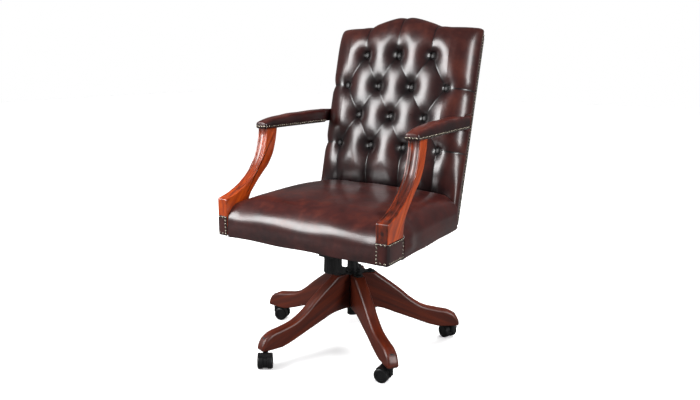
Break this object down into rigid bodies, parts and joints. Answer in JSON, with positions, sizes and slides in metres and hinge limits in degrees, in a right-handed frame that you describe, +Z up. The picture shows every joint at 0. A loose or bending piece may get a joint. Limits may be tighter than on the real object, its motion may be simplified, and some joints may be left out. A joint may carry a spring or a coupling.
{
  "type": "swivel office chair",
  "caption": "Swivel office chair with a button-back leather seat, open wooden arms, nailed leather arm pads and a five-legged wooden base on twin-wheel castors.",
  "frame": {"origin": "on the floor, on the axis of the column", "axes": "+Z up, the chair faces -Y, the sitter's left is +X"},
  "size_m": [0.6776, 0.7735, 1.0766],
  "materials": {
    "leather": "gloss",
    "leather_padding": "gloss",
    "arm_wood": "gloss",
    "base_wood": "gloss",
    "frame_wood": "matte",
    "black_steel": "satin",
    "bright_steel": "satin",
    "black_plastic": "satin",
    "nail_metal": "satin",
    "black_cloth": "matte"
  },
  "bodies": {
    "base": {"leg_1": "base_wood", "leg_2": "base_wood", "leg_3": "base_wood", "leg_4": "base_wood", "leg_5": "base_wood", "hub": "black_steel", "leg_bolts": "black_steel", "castor_sockets": "bright_steel", "hub_bush": "black_plastic"},
    "hand_nut": {"height_nut": "black_steel"},
    "column": {"spindle": "bright_steel", "spindle_stop": "bright_steel"},
    "mechanism": {"tilt_housing": "black_steel", "swivel_bush": "black_plastic", "tilt_pin": "bright_steel", "tension_bolt": "bright_steel", "tilt_spring": "bright_steel"},
    "knob": {"tension_knob": "black_plastic"},
    "seat": {"seat_plate": "black_steel", "frame_screws": "bright_steel", "seat_frame": "frame_wood", "seat_board": "frame_wood", "dust_cover": "black_cloth", "seat_cushion": "leather_padding", "arm_support_left": "arm_wood", "arm_support_right": "arm_wood", "corner_patch_left": "leather", "corner_patch_right": "leather", "patch_nails": "nail_metal", "arm_rail_left": "frame_wood", "arm_rail_right": "frame_wood", "arm_pad_left": "leather", "arm_pad_right": "leather", "arm_nails": "nail_metal", "back_frame": "frame_wood", "back_cushion": "leather_padding", "outside_back": "leather", "back_buttons": "leather", "back_nails": "nail_metal"},
    "castor_1": {"castor_1_hood": "black_plastic", "castor_1_pins": "bright_steel"},
    "castor_1_left": {"castor_1_wheel_left": "black_plastic"},
    "castor_1_right": {"castor_1_wheel_right": "black_plastic"},
    "castor_2": {"castor_2_hood": "black_plastic", "castor_2_pins": "bright_steel"},
    "castor_2_left": {"castor_2_wheel_left": "black_plastic"},
    "castor_2_right": {"castor_2_wheel_right": "black_plastic"},
    "castor_3": {"castor_3_hood": "black_plastic", "castor_3_pins": "bright_steel"},
    "castor_3_left": {"castor_3_wheel_left": "black_plastic"},
    "castor_3_right": {"castor_3_wheel_right": "black_plastic"},
    "castor_4": {"castor_4_hood": "black_plastic", "castor_4_pins": "bright_steel"},
    "castor_4_left": {"castor_4_wheel_left": "black_plastic"},
    "castor_4_right": {"castor_4_wheel_right": "black_plastic"},
    "castor_5": {"castor_5_hood": "black_plastic", "castor_5_pins": "bright_steel"},
    "castor_5_left": {"castor_5_wheel_left": "black_plastic"},
    "castor_5_right": {"castor_5_wheel_right": "black_plastic"}
  },
  "joints": [
    {"name": "hand_nut_turn", "type": "hinge", "parent": "base", "child": "hand_nut", "pos_m": [0, 0, 0.25], "axis": [0, 0, -1], "range_deg": [0, 6480]},
    {"name": "seat_height", "type": "slide", "parent": "base", "child": "column", "axis": [0, 0, 1], "range_m": [0, 0.09]},
    {"name": "seat_swivel", "type": "hinge", "parent": "column", "child": "mechanism", "pos_m": [0, 0, 0.32], "axis": [0, 0, 1], "continuous": true},
    {"name": "seat_tilt", "type": "hinge", "parent": "mechanism", "child": "seat", "pos_m": [0, -0.032, 0.352], "axis": [-1, 0, 0], "range_deg": [0, 12], "stiffness_Nm_per_rad": 90, "springref_deg": -34.38, "deforming": ["tilt_spring"]},
    {"name": "knob_turn", "type": "hinge", "parent": "mechanism", "child": "knob", "pos_m": [0, -0.115, 0.3], "axis": [0, 0, 1], "range_deg": [-720, 720]},
    {"name": "castor_1_swivel", "type": "hinge", "parent": "base", "child": "castor_1", "pos_m": [0.27967, 0.1951, 0.05], "axis": [0, 0, 1], "continuous": true},
    {"name": "castor_1_left_roll", "type": "hinge", "parent": "castor_1", "child": "castor_1_left", "pos_m": [0.2578, 0.20498, 0.023], "axis": [-0.4115, -0.9114, 0], "continuous": true},
    {"name": "castor_1_right_roll", "type": "hinge", "parent": "castor_1", "child": "castor_1_right", "pos_m": [0.2578, 0.20498, 0.023], "axis": [-0.4115, -0.9114, 0], "continuous": true},
    {"name": "castor_2_swivel", "type": "hinge", "parent": "base", "child": "castor_2", "pos_m": [-0.09913, 0.32627, 0.05], "axis": [0, 0, 1], "continuous": true},
    {"name": "castor_2_left_roll", "type": "hinge", "parent": "castor_2", "child": "castor_2_left", "pos_m": [-0.11185, 0.30592, 0.023], "axis": [0.848, -0.5299, 0], "continuous": true},
    {"name": "castor_2_right_roll", "type": "hinge", "parent": "castor_2", "child": "castor_2_right", "pos_m": [-0.11185, 0.30592, 0.023], "axis": [0.848, -0.5299, 0], "continuous": true},
    {"name": "castor_3_swivel", "type": "hinge", "parent": "base", "child": "castor_3", "pos_m": [-0.34094, 0.00655, 0.05], "axis": [0, 0, 1], "continuous": true},
    {"name": "castor_3_left_roll", "type": "hinge", "parent": "castor_3", "child": "castor_3_left", "pos_m": [-0.31793, 0.01336, 0.023], "axis": [-0.284, 0.9588, 0], "continuous": true},
    {"name": "castor_3_right_roll", "type": "hinge", "parent": "castor_3", "child": "castor_3_right", "pos_m": [-0.31793, 0.01336, 0.023], "axis": [-0.284, 0.9588, 0], "continuous": true},
    {"name": "castor_4_swivel", "type": "hinge", "parent": "base", "child": "castor_4", "pos_m": [-0.11158, -0.32223, 0.05], "axis": [0, 0, 1], "continuous": true},
    {"name": "castor_4_left_roll", "type": "hinge", "parent": "castor_4", "child": "castor_4_left", "pos_m": [-0.09744, -0.34162, 0.023], "axis": [0.808, 0.5892, 0], "continuous": true},
    {"name": "castor_4_right_roll", "type": "hinge", "parent": "castor_4", "child": "castor_4_right", "pos_m": [-0.09744, -0.34162, 0.023], "axis": [0.808, 0.5892, 0], "continuous": true},
    {"name": "castor_5_swivel", "type": "hinge", "parent": "base", "child": "castor_5", "pos_m": [0.27198, -0.20569, 0.05], "axis": [0, 0, 1], "continuous": true},
    {"name": "castor_5_left_roll", "type": "hinge", "parent": "castor_5", "child": "castor_5_left", "pos_m": [0.2481, -0.20808, 0.023], "axis": [0.0993, -0.9951, 0], "continuous": true},
    {"name": "castor_5_right_roll", "type": "hinge", "parent": "castor_5", "child": "castor_5_right", "pos_m": [0.2481, -0.20808, 0.023], "axis": [0.0993, -0.9951, 0], "continuous": true}
  ],
  "couplings": [
    {"joint": "hand_nut_turn", "follows": "seat_height", "rad_per_m": 1256.6}
  ]
}
